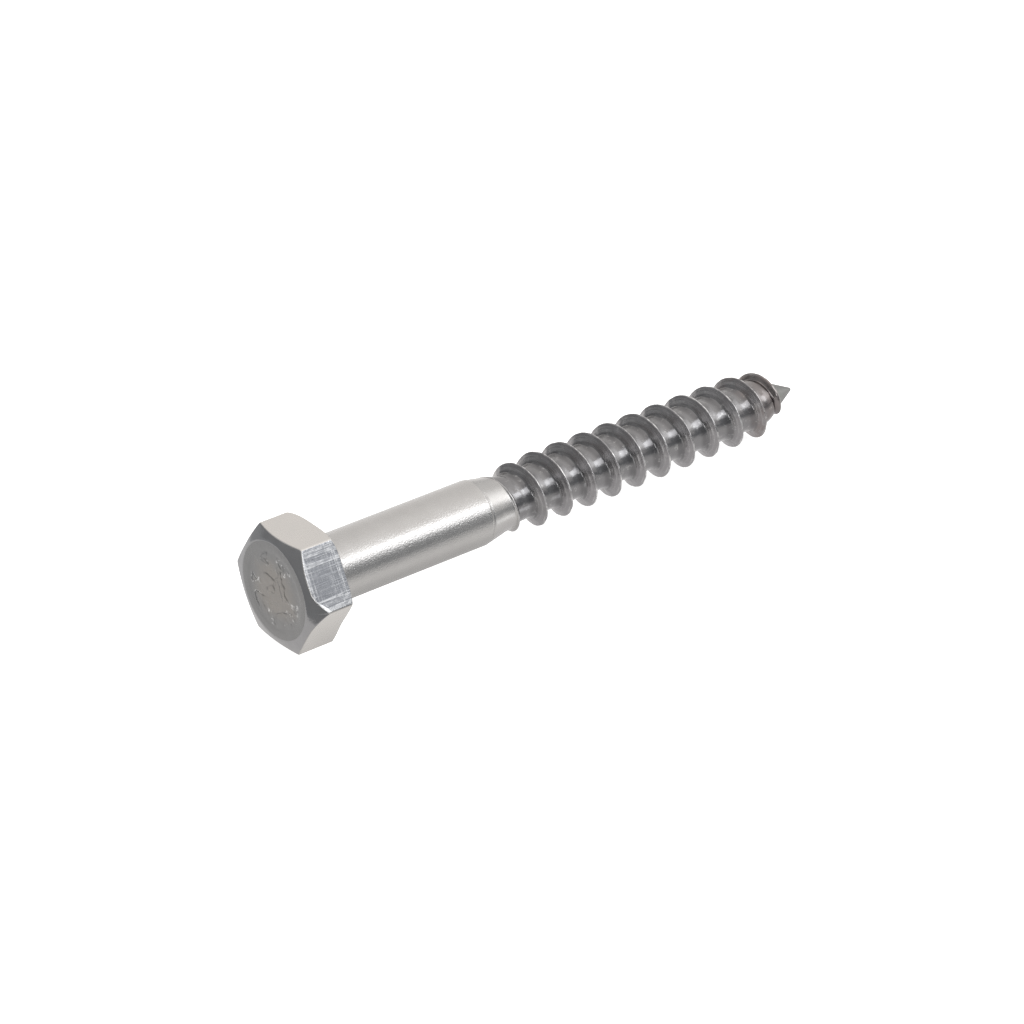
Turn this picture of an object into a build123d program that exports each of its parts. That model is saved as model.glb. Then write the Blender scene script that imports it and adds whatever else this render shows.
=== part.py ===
"""Hex-head lag screw, 8 x 70 mm, also called a coach screw, for wood and wall plugs.

It is one cold-formed piece of stainless steel: a chamfered hexagon head, a plain shank, a neck
that eases the shank down towards the core, and a coarse right-hand thread that rises from the
core and runs out on a gimlet point.

Frame, in millimetres: the origin is the centre of the bearing face under the head, +X runs
towards the point and +Z is up.  The screw lies as it comes to rest on a level surface, on one
flat of its head and on a crest of its thread, so its axis dips a little towards the point.
"""
from build123d import *

import math
import os

# Head
ACROSS_FLATS = 13.0
HEAD_HEIGHT = 5.3
FACE_DIAMETER = 11.6            # flat circle inside the chamfer
FACE_CHAMFER_ANGLE = 30.0       # between the chamfer and the face, degrees

# Shank and neck
LENGTH = 69.3                   # from the bearing face to the point
SHANK_DIAMETER = 7.7
SHANK_LENGTH = 21.5             # plain cylinder under the head
UNDER_HEAD_RADIUS = 0.4
NECK_LENGTH = 4.3               # from the plain cylinder to the shoulder
NECK_END_DIAMETER = 6.3
SHOULDER_LENGTH = 0.8           # from the neck down to the core

# Thread
CORE_DIAMETER = 5.6
THREAD_DIAMETER = 8.2
PITCH = 3.6
CREST_WIDTH = 0.45
RIDGE_WIDTH = 1.7               # where the ridge meets the core
RIDGE_SINK = 0.3                # depth by which the ridge is rooted in the core
THREAD_START = 24.2             # from the bearing face to the middle of the ridge's start
START_ANGLE = -56.5             # turn of the ridge's start about the axis, from the top, degrees
START_DIAMETER = 6.7            # over the crest where the ridge starts, inside the neck
START_TURNS = 1.7               # turns over which the ridge rises to its full height
POINTS_PER_TURN = 16            # that each edge of the ridge passes through

# Point
POINT_ANGLE = 52.0              # full angle of the cone
TIP_RADIUS = 0.25
RUNOUT_LENGTH = 4.2             # length over which the crest falls towards the point
RUNOUT_GAP = 3.4                # from the ridge's end to the point
RUNOUT_DIAMETER = 3.5           # over the crest where the ridge ends

HALF_POINT = math.radians(POINT_ANGLE / 2)
BALL_CENTRE = LENGTH - TIP_RADIUS
CONE_APEX = BALL_CENTRE + TIP_RADIUS / math.sin(HALF_POINT)
RIDGE_END = LENGTH - RUNOUT_GAP


def core_radius(x):
    """Radius of the core at x, down the cone towards the point."""
    return min(CORE_DIAMETER / 2, (CONE_APEX - x) * math.tan(HALF_POINT))


def crest_radius(x):
    """Radius of the thread's crest at x, from its rise out of the neck to its run-out."""
    risen = min(max((x - THREAD_START) / (START_TURNS * PITCH), 0.0), 1.0)
    risen *= risen * (3 - 2 * risen)
    grown = START_DIAMETER + risen * (THREAD_DIAMETER - START_DIAMETER)
    left = min(max((RIDGE_END - x) / RUNOUT_LENGTH, 0.0), 1.0)
    left = math.sqrt(left * (2 - left))
    fallen = RUNOUT_DIAMETER + left * (THREAD_DIAMETER - RUNOUT_DIAMETER)
    return min(grown, fallen) / 2


def make_head():
    """Hexagon with one flat up, turned to a chamfered face."""
    corner = ACROSS_FLATS / math.sqrt(3)
    prism = extrude(Plane.YZ * RegularPolygon(corner, 6), -HEAD_HEIGHT)
    chamfer_depth = (corner - FACE_DIAMETER / 2) * math.tan(math.radians(FACE_CHAMFER_ANGLE))
    outline = Polyline((0, 0), (-HEAD_HEIGHT, 0), (-HEAD_HEIGHT, FACE_DIAMETER / 2),
                       (chamfer_depth - HEAD_HEIGHT, corner), (0, corner), close=True)
    return prism & revolve(Plane.XZ * make_face(outline), Axis.X)


def make_shaft():
    """Shank, neck, core and cone, turned as one profile with a ball tip."""
    shank, neck, core = SHANK_DIAMETER / 2, NECK_END_DIAMETER / 2, CORE_DIAMETER / 2
    neck_start, neck_end = (SHANK_LENGTH, shank), (SHANK_LENGTH + NECK_LENGTH, neck)
    core_start = (neck_end[0] + SHOULDER_LENGTH, core)
    core_end = (CONE_APEX - core / math.tan(HALF_POINT), core)
    ball_edge, ball_middle = [(BALL_CENTRE + TIP_RADIUS * math.sin(angle), TIP_RADIUS * math.cos(angle))
                              for angle in (HALF_POINT, (HALF_POINT + math.pi / 2) / 2)]
    inside_head = -HEAD_HEIGHT / 2
    outline = Polyline((LENGTH, 0), (inside_head, 0), (inside_head, shank), neck_start, neck_end,
                       core_start, core_end, ball_edge)
    outline += ThreePointArc(ball_edge, ball_middle, (LENGTH, 0))
    return revolve(Plane.XZ * make_face(outline), Axis.X)


def ridge_section(x):
    """Four corners of the ridge's section where its middle has reached x, foot, crest, foot."""
    slope = (RIDGE_WIDTH - CREST_WIDTH) / (THREAD_DIAMETER - CORE_DIAMETER)
    crest, half_crest = crest_radius(x), CREST_WIDTH / 2
    half_foot = half_crest + slope * (crest - core_radius(x) + RIDGE_SINK)
    feet = [core_radius(x + side * half_foot) - RIDGE_SINK for side in (-1, 1)]
    corners = [(-half_foot, feet[0]), (-half_crest, crest), (half_crest, crest), (half_foot, feet[1])]
    angle = 2 * math.pi * (x - THREAD_START) / PITCH
    return [Vector(x + along, -radius * math.sin(angle), radius * math.cos(angle))
            for along, radius in corners]


def make_ridge_turn(start, end):
    """Ridge between two places along the axis, skinned between the helices of its corners."""
    steps = math.ceil((end - start) / PITCH * POINTS_PER_TURN)
    sections = [ridge_section(start + (end - start) * step / steps) for step in range(steps + 1)]
    edges = [Edge.make_spline(corner) for corner in zip(*sections)]
    skin = [Face.make_surface_from_curves(edge, following)
            for edge, following in zip(edges, edges[1:] + edges[:1])]
    ends = [Face(Wire.make_polygon(section, close=True)) for section in (sections[0], sections[-1])]
    return Solid(Shell(skin + ends))


def make_thread():
    """Turns of the ridge from its start inside the neck to its end on the cone."""
    turns = math.ceil((RIDGE_END - THREAD_START) / PITCH)
    starts = [THREAD_START + PITCH * turn for turn in range(turns)]
    return [make_ridge_turn(start, min(start + PITCH, RIDGE_END)) for start in starts]


def rest_angle():
    """Dip of the axis when the screw lies on a flat of its head and on its thread's crest."""
    lowest = THREAD_START + PITCH * ((180 - START_ANGLE) / 360 % 1)
    turns = int((RIDGE_END - lowest) / PITCH)
    crests = [lowest + PITCH * turn for turn in range(turns + 1)]
    return min(math.degrees(math.atan2(ACROSS_FLATS / 2 - crest_radius(x), x)) for x in crests)


def make_screw():
    turn_to_start = Rot(X=START_ANGLE)
    blank = make_head() + turn_to_start * make_shaft()
    under_head = [edge for edge in blank.edges().filter_by(GeomType.CIRCLE)
                  if abs(edge.center().X) < 0.01 and abs(edge.radius - SHANK_DIAMETER / 2) < 0.01]
    blank = fillet(under_head, UNDER_HEAD_RADIUS)
    return Rot(Y=rest_angle()) * (blank + [turn_to_start * turn for turn in make_thread()])


def main():
    os.makedirs("parts", exist_ok=True)
    export_step(make_screw(), "parts/lag_screw.step")


if __name__ == "__main__":
    main()
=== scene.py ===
"""Looks of the hex-head lag screw: a fine model of the screw and a small pale studio around it.

The pieces are shaped in the screw's own frame, in millimetres, with the origin in the middle of the
bearing face under the head and +X towards the point.  Each finished piece is then laid into the row
frame, in metres, where the screw rests on a flat of its head and on a crest of its thread.
"""
import logging
import math
from collections.abc import Callable, Sequence
from dataclasses import dataclass
from enum import Enum

import bpy
import numpy as np
from mathutils import Matrix, Vector, noise


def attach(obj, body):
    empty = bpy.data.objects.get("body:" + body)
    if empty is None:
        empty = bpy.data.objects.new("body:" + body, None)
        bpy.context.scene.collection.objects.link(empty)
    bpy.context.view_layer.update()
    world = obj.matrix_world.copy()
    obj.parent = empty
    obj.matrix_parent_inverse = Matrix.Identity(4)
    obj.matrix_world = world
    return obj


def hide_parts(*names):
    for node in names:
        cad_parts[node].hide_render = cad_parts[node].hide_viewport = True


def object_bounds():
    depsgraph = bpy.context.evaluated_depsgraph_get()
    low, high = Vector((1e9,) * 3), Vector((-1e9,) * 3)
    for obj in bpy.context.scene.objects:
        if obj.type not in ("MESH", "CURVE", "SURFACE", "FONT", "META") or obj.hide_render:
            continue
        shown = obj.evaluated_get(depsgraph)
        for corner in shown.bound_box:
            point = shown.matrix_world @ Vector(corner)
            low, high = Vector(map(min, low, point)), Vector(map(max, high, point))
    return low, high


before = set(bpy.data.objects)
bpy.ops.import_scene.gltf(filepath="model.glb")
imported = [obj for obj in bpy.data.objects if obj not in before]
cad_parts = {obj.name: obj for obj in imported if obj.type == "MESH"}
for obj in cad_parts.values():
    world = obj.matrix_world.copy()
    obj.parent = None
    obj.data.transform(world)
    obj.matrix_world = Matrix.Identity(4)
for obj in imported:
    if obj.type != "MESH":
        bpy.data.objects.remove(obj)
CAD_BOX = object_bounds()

LOG = logging.getLogger("lag_screw")
MM = 0.001
DIP = math.radians(2.2429)      # of the axis, towards the point, as the screw rests
TO_ROW = Matrix.Rotation(DIP, 4, "Y") @ Matrix.Scale(MM, 4)
FULL_TURN = 2 * math.pi
SIDE_TURN = math.pi / 3         # that one side of the hexagon takes up
HALF_SIDE = math.pi / 6
QUARTERS = (0, 0.25, 0.5, 0.75, 1)
FRONT = (-0.75, -0.66)          # level direction to the front of the studio
Colour = tuple[float, float, float]
Point = tuple[float, float, float]
Span = tuple[float, float]
Ring = tuple[float | np.ndarray, float | np.ndarray]


# ---------------------------------------------------------------------------------------------
# Mesh work
# ---------------------------------------------------------------------------------------------

class Bench:
    """Small hand moves on the mesh that is being worked on, which is the active object."""

    @staticmethod
    def take(piece: bpy.types.Object) -> None:
        """Makes one object the only selected one, and the active one.

        Args:
            piece: the object, with everything in object mode.
        """
        bpy.ops.object.select_all(action="DESELECT")
        piece.select_set(True)
        bpy.context.view_layer.objects.active = piece

    @staticmethod
    def edit(mode: str = "VERT") -> None:
        """Goes into edit mode, with everything selected.

        Args:
            mode: what is selected, such as VERT or EDGE.
        """
        bpy.ops.object.mode_set(mode="EDIT")
        bpy.ops.mesh.select_mode(type=mode)
        bpy.ops.mesh.select_all(action="SELECT")

    @staticmethod
    def leave() -> None:
        """Goes back to object mode."""
        bpy.ops.object.mode_set(mode="OBJECT")

    @staticmethod
    def pick_edges(piece: bpy.types.Object, wanted: Callable[[Vector, Vector], bool]) -> None:
        """Selects edges by the places of their two ends, and goes into edit mode.

        Args:
            piece: the mesh object, in object mode.
            wanted: says whether the edge between two points is picked.
        """
        Bench.edit("EDGE")
        bpy.ops.mesh.select_all(action="DESELECT")
        Bench.leave()
        vertices = piece.data.vertices
        for edge in piece.data.edges:
            edge.select = wanted(*(vertices[index].co for index in edge.vertices))
        bpy.ops.object.mode_set(mode="EDIT")

    @staticmethod
    def draw_line(name: str, points: Sequence[Point]) -> bpy.types.Object:
        """Draws a chain of edges by extruding one vertex from point to point.

        Args:
            name: of the new object.
            points: that the line passes through, in order.

        Returns:
            The object, active and in object mode.
        """
        bpy.ops.object.select_all(action="DESELECT")
        bpy.ops.mesh.primitive_plane_add(size=0.1, location=points[0])
        line = bpy.context.object
        line.name = name
        Bench.edit()
        bpy.ops.mesh.merge(type="CENTER")
        for here, there in zip(points, points[1:]):
            step = Vector(there) - Vector(here)
            bpy.ops.mesh.extrude_region_move(TRANSFORM_OT_translate={"value": step})
        Bench.leave()
        bpy.ops.object.transform_apply(location=True, rotation=True, scale=True)
        return line

    @staticmethod
    def apply(piece: bpy.types.Object, kind: str, **settings: object) -> None:
        """Adds a modifier to a piece, sets it and applies it.

        Args:
            piece: the mesh object, in object mode.
            kind: the modifier's type.
            settings: its properties by name.
        """
        Bench.take(piece)
        bpy.ops.object.modifier_add(type=kind)
        modifier = piece.modifiers[-1]
        for name, value in settings.items():
            setattr(modifier, name, value)
        bpy.ops.object.modifier_apply(modifier=modifier.name)

    @staticmethod
    def close_up(piece: bpy.types.Object, distance: float = 1e-4) -> None:
        """Merges doubled vertices and turns every face outwards.

        Args:
            piece: the mesh object, in object mode.
            distance: within which vertices are merged.
        """
        Bench.take(piece)
        Bench.edit()
        bpy.ops.mesh.remove_doubles(threshold=distance)
        bpy.ops.mesh.normals_make_consistent(inside=False)
        Bench.leave()

    @staticmethod
    def grow_ring(reach: float, place: float, swell: float) -> None:
        """Extrudes the selected ring along the axis and then scales it about the axis.

        Args:
            reach: how far the new ring stands from the last one, along X.
            place: of the new ring along X.
            swell: the new ring's radius over the last one's.
        """
        bpy.ops.mesh.extrude_region_move(TRANSFORM_OT_translate={"value": (reach, 0, 0)})
        bpy.ops.transform.resize(value=(1, swell, swell), center_override=(place, 0, 0))


def points_of(piece: bpy.types.Object) -> np.ndarray:
    """Reads the places of a mesh's vertices.

    Args:
        piece: the mesh object, in object mode.

    Returns:
        The places, one row each.
    """
    flat = np.empty(len(piece.data.vertices) * 3)
    piece.data.vertices.foreach_get("co", flat)
    return flat.reshape(-1, 3)


def move_points(piece: bpy.types.Object, places: np.ndarray) -> None:
    """Puts a mesh's vertices at new places, one row each."""
    piece.data.vertices.foreach_set("co", places.ravel())
    piece.data.update()


def note_down(piece: bpy.types.Object, name: str, values: np.ndarray) -> None:
    """Writes one number for each vertex into a mesh, where a finish reads it by its name."""
    notes = piece.data.attributes.new(name, "FLOAT", "POINT")
    notes.data.foreach_set("value", values.astype(np.float32))


def smooth(share: float | np.ndarray) -> float | np.ndarray:
    """Eases a share of 0 to 1 in and out, and holds it at 0 and 1 outside."""
    share = np.clip(share, 0, 1)
    return share * share * (3 - 2 * share)


def soft_max(one: np.ndarray, other: np.ndarray, width: float | np.ndarray) -> np.ndarray:
    """The larger of two values, with a fillet where they are within a width of each other."""
    share = np.clip(0.5 + 0.5 * (one - other) / width, 0, 1)
    return other + share * (one - other) + width * share * (1 - share)


def grain(places: np.ndarray, scale: float) -> np.ndarray:
    """Even random unevenness of -1 to 1 over places in millimetres, the same each run."""
    return np.array([noise.noise(Vector(place) * scale) for place in places])


@dataclass(frozen=True)
class Rise:
    """An eased rise from 0 to 1 along some measure."""
    start: float
    over: float                         # how far along the measure it goes on

    def at(self, measure: np.ndarray) -> np.ndarray:
        """Share of the rise that is done at each measure."""
        return smooth((measure - self.start) / self.over)


# ---------------------------------------------------------------------------------------------
# Finishes
# ---------------------------------------------------------------------------------------------

class Signal:
    """A socket's value in a shader, on which plain arithmetic adds Math nodes."""

    def __init__(self, sheet: "Sheet", socket: bpy.types.NodeSocket) -> None:
        """Wraps one output socket of a sheet."""
        self.sheet = sheet
        self.socket = socket

    def __add__(self, other: "Value") -> "Signal":
        """self + other."""
        return self.sheet.maths("ADD", self, other)

    def __sub__(self, other: "Value") -> "Signal":
        """self - other."""
        return self.sheet.maths("SUBTRACT", self, other)

    def __rsub__(self, other: "Value") -> "Signal":
        """other - self."""
        return self.sheet.maths("SUBTRACT", other, self)

    def __mul__(self, other: "Value") -> "Signal":
        """self * other."""
        return self.sheet.maths("MULTIPLY", self, other)

    __radd__ = __add__
    __rmul__ = __mul__


Value = Signal | float


class Sheet:
    """One node tree, with a single way of making nodes."""

    def __init__(self, tree: bpy.types.NodeTree) -> None:
        """Takes a tree over and empties it."""
        self.tree = tree
        tree.nodes.clear()

    def node(self, kind: str, settings: dict[str, object] | None = None,
             values: dict[str | int, object] | None = None) -> bpy.types.Node:
        """Makes one node.

        Args:
            kind: the node's type.
            settings: its own properties, set before its inputs.
            values: its inputs by name or number, each a number, a colour, a Signal or a socket.

        Returns:
            The new node.
        """
        made = self.tree.nodes.new(kind)
        for name, value in (settings or {}).items():
            setattr(made, name, value)
        for name, value in (values or {}).items():
            socket = made.inputs[name]
            if isinstance(value, Signal):
                value = value.socket
            if isinstance(value, bpy.types.NodeSocket):
                self.tree.links.new(value, socket)
            elif isinstance(value, tuple) and socket.type == "RGBA":
                socket.default_value = (*value, 1)
            else:
                socket.default_value = value
        return made

    def coordinates(self, kind: str) -> Signal:
        """One output of a Texture Coordinate node, such as Object."""
        return Signal(self, self.node("ShaderNodeTexCoord").outputs[kind])

    def ray(self, kind: str) -> Signal:
        """One output of a Light Path node, such as Is Glossy Ray."""
        return Signal(self, self.node("ShaderNodeLightPath").outputs[kind])

    def maths(self, operation: str, *values: Value) -> Signal:
        """Adds one Math node and returns its result."""
        made = self.node("ShaderNodeMath", {"operation": operation}, dict(enumerate(values)))
        return Signal(self, made.outputs[0])

    def ease(self, value: Value, low: float, high: float) -> Signal:
        """Eases a value from 0 at low to 1 at high."""
        made = self.node("ShaderNodeMapRange", {"interpolation_type": "SMOOTHSTEP"},
                         {"Value": value, "From Min": low, "From Max": high})
        return Signal(self, made.outputs["Result"])

    def lean(self, angle: Value, rising: Span, falling: Span) -> Signal:
        """Share that rises over one span of angles and falls over another, both in degrees."""
        risen = self.ease(angle, *map(math.radians, rising))
        return risen * (1.0 - self.ease(angle, *map(math.radians, falling)))

    def blend(self, share: Value, low: Signal | Colour, high: Signal | Colour) -> Signal:
        """Mixes two colours by a share of 0 to 1."""
        made = self.node("ShaderNodeMix", {"data_type": "RGBA"}, {0: share, 6: low, 7: high})
        return Signal(self, made.outputs[2])

    def noise(self, vector: Signal, scale: float, detail: float = 3, rough: float = 0.55,
              stretch: Point = (1, 1, 1), skew: float = 0.0) -> Signal:
        """Adds a Noise Texture.

        Args:
            vector: that it reads.
            scale: how many of its spots fit in one unit.
            detail: how many finer layers it has.
            rough: how strong the finer layers are, from 0 to 1.
            stretch: factors on the vector's three parts before it is read.
            skew: how far the noise distorts itself.

        Returns:
            The noise, from 0 to 1.
        """
        if stretch != (1, 1, 1):
            vector = self.mapped(vector, (0, 0, 0), stretch)
        made = self.node("ShaderNodeTexNoise", {}, {
            "Vector": vector, "Scale": scale, "Detail": detail, "Roughness": rough,
            "Distortion": skew})
        return Signal(self, made.outputs["Fac"])

    def mapped(self, vector: Signal, turn: Point, scale: Point) -> Signal:
        """Turns a vector and then stretches it.

        Args:
            vector: that is turned.
            turn: about X, Y and Z, in radians.
            scale: factors on the three parts after the turn.

        Returns:
            The new vector.
        """
        kind, settings = "ShaderNodeMapping", {"vector_type": "POINT"}
        turned = self.node(kind, settings, {"Vector": vector, "Rotation": turn})
        made = self.node(kind, settings, {"Vector": turned.outputs[0], "Scale": scale})
        return Signal(self, made.outputs[0])

    def parts(self, vector: Signal) -> tuple[Signal, Signal, Signal]:
        """A vector's three parts."""
        made = self.node("ShaderNodeSeparateXYZ", {}, {0: vector})
        return tuple(Signal(self, made.outputs[index]) for index in range(3))

    def length(self, one: Signal, other: Signal) -> Signal:
        """Length of a level vector, from its two parts."""
        return self.maths("SQRT", one * one + other * other)


class SteelSheet(Sheet):
    """A stainless steel material, with the screw's own coordinates in millimetres."""

    def __init__(self, name: str) -> None:
        """Starts the material.

        Args:
            name: of the material.
        """
        self.material = bpy.data.materials.new(name)
        self.material.use_nodes = True
        super().__init__(self.material.node_tree)
        own = self.node("ShaderNodeMapping", {"vector_type": "POINT"}, {
            "Vector": self.coordinates("Object"), "Rotation": (0, -DIP, 0),
            "Scale": (1 / MM, 1 / MM, 1 / MM)})
        self.place = Signal(self, own.outputs[0])

    def attribute(self, name: str) -> Signal:
        """One of the mesh's own notes."""
        made = self.node("ShaderNodeAttribute", {"attribute_name": name})
        return Signal(self, made.outputs["Fac"])

    def sway(self, level: float, *noises: tuple[float, Signal]) -> Signal:
        """Lets a level rise and fall with noises.

        Args:
            level: where every noise is in the middle.
            noises: each as how far the level moves with it from end to end, and the noise.

        Returns:
            The moving level.
        """
        for reach, pattern in noises:
            level = level + reach * (pattern - 0.5)
        return level

    def finish(self, colour: Signal, roughness: Signal, bump: Signal,
               depth: float) -> bpy.types.Material:
        """Joins colour, roughness and bump in a metal shader.

        Args:
            colour: of the metal.
            roughness: from 0 to 1.
            bump: height of the fine relief, from 0 to 1.
            depth: of that relief, in millimetres.

        Returns:
            The material.
        """
        relief = self.node("ShaderNodeBump", {}, {
            "Height": bump, "Distance": depth * MM, "Strength": 1.0})
        shader = self.node("ShaderNodeBsdfPrincipled", {}, {
            "Base Color": colour, "Roughness": roughness, "Metallic": 1.0,
            "Normal": relief.outputs[0]})
        self.node("ShaderNodeOutputMaterial", {}, {"Surface": shader.outputs[0]})
        return self.material


@dataclass(frozen=True)
class DrawnSteel:
    """Satin of the shank and the neck: drawn wire, with faint mottling and a fine grain."""
    tone: Colour = (0.365, 0.358, 0.352)
    bright: Colour = (0.435, 0.428, 0.422)
    roughness: float = 0.25
    relief: float = 0.027
    neck: Span = (21.8, 22.5)           # along the axis, where the grain weakens

    def make(self) -> bpy.types.Material:
        """Makes the material.

        Returns:
            The material.
        """
        s = SteelSheet("drawn_steel")
        mottle = s.noise(s.place, 0.55, 4, 0.6)
        pores = s.noise(s.place, 5.8, 2, 0.6, (0.8, 1, 1))
        colour = s.blend(mottle, self.tone, self.bright)
        roughness = s.sway(self.roughness, (0.12, mottle), (0.16, pores))
        x, _, _ = s.parts(s.place)
        on_shank = 1.0 - s.ease(x, *self.neck) * 0.6
        return s.finish(colour, roughness, pores * on_shank + mottle * 0.3, self.relief)


@dataclass(frozen=True)
class RolledSteel:
    """Thread: ringed and scuffed along its flanks, worn bright on its crest, tinted at its end; its
    roots carry painted shade.

    The spans lie along the axis, unless they say otherwise.
    """
    # darker than the flank: partly the root's own tone, partly painted shade of the hollow between
    # ridges
    root: Colour = (0.192, 0.190, 0.194)
    root_shade: Colour = (0.085, 0.083, 0.086)     # painted shade of the root, close behind the ridge
    flank: Colour = (0.268, 0.262, 0.267)
    crest: Colour = (0.62, 0.615, 0.61)
    tint: Colour = (0.190, 0.160, 0.152)
    blasted: Colour = (0.225, 0.226, 0.222)     # of the point
    roughness: float = 0.18
    relief: float = 0.06
    foot: Span = (0.06, 0.3)                # of the flank, as a share of the ridge's height
    edge: Span = (0.03, 0.13)               # of the crest, from the ridge's middle
    worn_from: Span = (23.0, 29.0)
    last_turn: Span = (61.0, 64.0)
    tinted: Span = (59.0, 65.0)
    point: Span = (65.4, 66.4)

    def make(self) -> bpy.types.Material:
        """Makes the material.

        Returns:
            The material.
        """
        s = SteelSheet("rolled_steel")
        ridge, across = s.attribute("ridge"), s.attribute("across")
        x, y, z = s.parts(s.place)
        ringed = s.node("ShaderNodeCombineXYZ", {}, {0: ridge * 3.2, 1: y * 0.16, 2: z * 0.16})
        rings = s.noise(Signal(s, ringed.outputs[0]), 1.5, 3, 0.6)
        mottle = s.noise(s.place, 0.7, 3, 0.6)
        scuff = s.noise(s.place, 1.6, 4, 0.65)
        on_flank = s.ease(ridge, *self.foot)
        edge = 1.0 - s.ease(s.maths("ABSOLUTE", across), *self.edge)
        last_turn = s.ease(x, *self.last_turn)
        worn = s.ease(mottle * 0.5 + scuff * 0.5, 0.45, 0.60) * (1.0 - last_turn * 0.8)
        worn = worn * s.ease(x, *self.worn_from)
        point = s.ease(x, *self.point) * (1.0 - on_flank)
        near_point = s.ease(x + 10.0 * (mottle - 0.5), *self.tinted) * (1.0 - point)
        colour = s.blend(on_flank, self.root, self.flank)
        # painted shade in the root close behind each ridge, weaker up the flank
        colour = s.blend(s.attribute("root_shade") * (0.55 - 0.3 * on_flank), colour, self.root_shade)
        colour = s.blend(near_point * (0.5 + 0.35 * on_flank), colour, self.tint)
        colour = s.blend(s.ease(rings, 0.50, 0.72) * on_flank * 0.32, colour, self.crest)
        colour = s.blend(s.ease(scuff, 0.56, 0.72) * 0.25, colour, self.crest)
        colour = s.blend(point, colour, self.blasted)
        colour = s.blend(edge * worn * on_flank, colour, self.crest)
        roughness = s.sway(self.roughness, (0.16, mottle), (0.08, scuff))
        roughness = roughness + 0.10 * on_flank + 0.3 * point
        relief = rings * on_flank * 0.35 + scuff * 0.16 + mottle * 0.8 + scuff * point * 0.9
        return s.finish(colour, roughness, relief, self.relief)


@dataclass(frozen=True)
class PressedSteel:
    """Sides of the head as the die leaves them; the scratched one has painted shade and painted
    glints.
    """
    tone: Colour = (0.530, 0.512, 0.492)
    shade: Colour = (0.480, 0.467, 0.453)
    painted_side_shade: Colour = (0.200, 0.206, 0.221)    # painted shade: the gripped side darker and bluer than the others
    # scratches, painted lighter where they stand in for their glints
    scratch: Colour = (0.46, 0.465, 0.475)
    painted_glint: Colour = (0.88, 0.88, 0.88)     # painted glint along the gripped side's edge by the chamfer
    roughness: float = 0.27
    relief: float = 0.05
    gripped_shaded_side: float = math.radians(60)       # turn of the gripped side from the top one
    skin: Span = (6.486, 6.498)             # depths from the axis that tell it from the others
    middle: float = -2.7                    # of the gripped side, along the axis
    glint_widening: Span = (1.6, 3.2)              # across that side, towards its lower edge, where the painted glint widens

    def make(self) -> bpy.types.Material:
        """Makes the material.

        Returns:
            The material.
        """
        s = SteelSheet("pressed_steel")
        mottle = s.noise(s.place, 0.4, 3, 0.55)
        pores = s.noise(s.place, 2.0, 3, 0.6)
        level = s.mapped(s.place, (-self.gripped_shaded_side, 0, 0), (1, 1, 1))
        x, t, depth = s.parts(level)
        gripped_shaded_side = s.ease(depth, *self.skin)
        lengthwise = s.noise(level, 1.0, 3, 0.6, (0.16, 6.2, 0.1))
        crosswise = s.noise(level, 1.0, 3, 0.6, (5.0, 0.14, 0.1))
        outer = s.ease(s.maths("ABSOLUTE", t + 2.0 * (mottle - 0.5)), 0.6, 2.2)
        from_middle = x - self.middle + 1.0 * (mottle - 0.5)
        ends = s.ease(s.maths("ABSOLUTE", from_middle), 0.6, 1.9)
        lines = s.ease(lengthwise, 0.46, 0.62) * (0.2 + 0.8 * outer)
        crossed = s.ease(crosswise, 0.47, 0.63) * (0.2 + 0.7 * ends)
        lines = s.maths("MAXIMUM", lines, crossed)
        lines = lines * (0.45 + 0.75 * s.ease(pores, 0.38, 0.6))
        # painted glint along the edge by the chamfer, widest towards the lower edge
        glint_widening = s.ease(t * -1.0, *self.glint_widening)
        border = s.attribute("border") - 0.9 * (mottle - 0.47) - glint_widening * 0.35
        painted_glint = 1.0 - s.ease(border, 0.02, 0.20)
        painted_glint = painted_glint * (0.45 + 0.55 * glint_widening)
        colour = s.blend(mottle, self.shade, self.tone)
        # painted shade: the gripped side darker and bluer than the others
        colour = s.blend(gripped_shaded_side, colour, self.painted_side_shade)
        # the scratch lines painted lighter as glints; their relief is in the bump below
        colour = s.blend(gripped_shaded_side * lines, colour, self.scratch)
        colour = s.blend(gripped_shaded_side * painted_glint * 0.9, colour, self.painted_glint)
        roughness = s.sway(self.roughness, (0.12, mottle), (0.06, pores))
        relief = mottle * 0.35 + (lengthwise + crosswise) * gripped_shaded_side * 0.16
        return s.finish(colour, roughness, relief, self.relief)


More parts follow.
